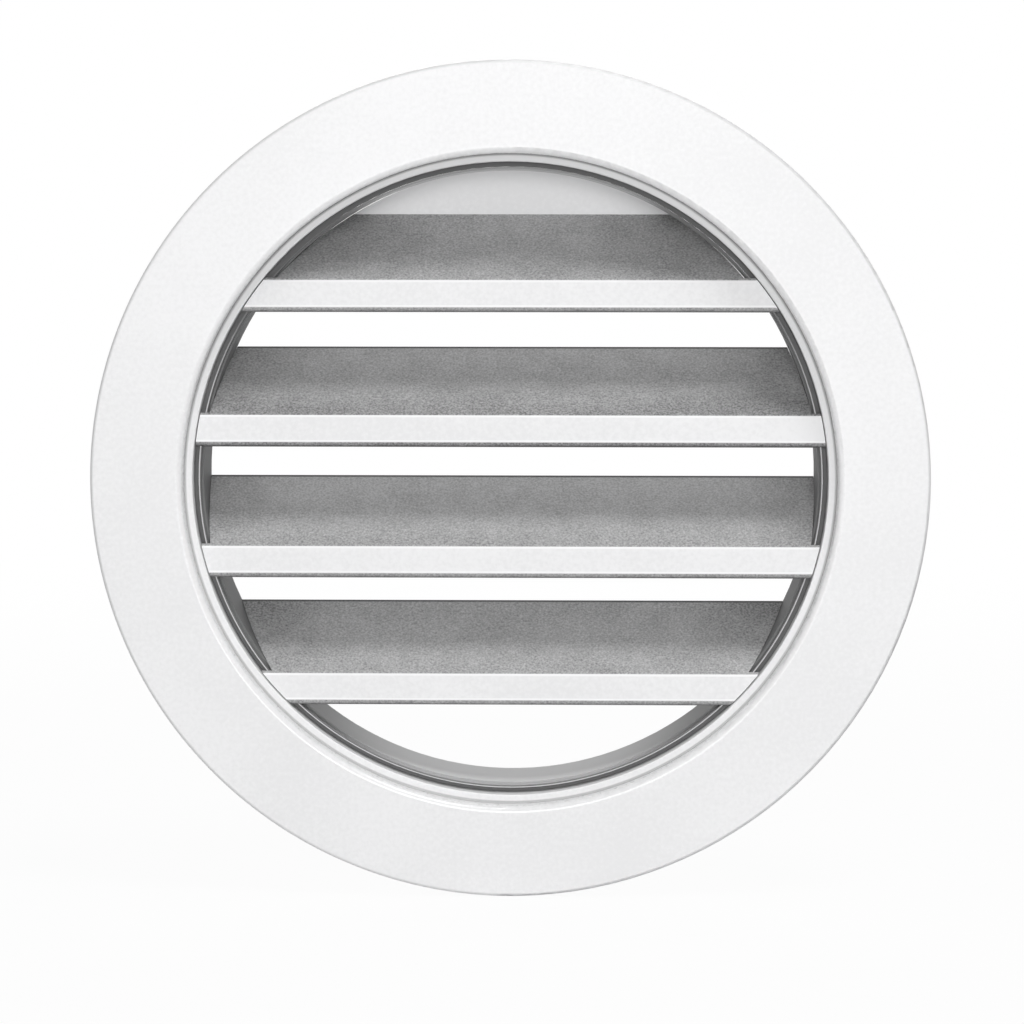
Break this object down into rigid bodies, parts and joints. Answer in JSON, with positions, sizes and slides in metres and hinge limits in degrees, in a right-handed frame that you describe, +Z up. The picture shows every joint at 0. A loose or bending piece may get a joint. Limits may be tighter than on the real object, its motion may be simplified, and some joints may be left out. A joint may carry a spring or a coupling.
{
  "type": "round louvred vent cover",
  "caption": "Round white wall vent cover: a wide face ring, a short spigot that slips into a duct, and fixed sloping louvre blades across the opening.",
  "frame": {"origin": "on the ring's axis, in the plane of the wall that the rim stands on, where the spigot enters the duct", "axes": "+Y along the axis into the wall, so the front faces -Y; +Z up, across the blades; +X to the viewer's right"},
  "size_m": [0.265, 0.038, 0.265],
  "materials": {
    "white_coat": "satin white powder coat on pressed aluminium",
    "grey_coat": "thin pale grey coat on rolled aluminium",
    "blade_coat": "white lip, fine-grained grey slope on folded aluminium"
  },
  "bodies": {
    "root": {"face_ring": "white_coat", "collar": "grey_coat", "top_blade": "blade_coat", "blade_2": "blade_coat", "blade_3": "blade_coat", "blade_4": "blade_coat"}
  },
  "joints": []
}
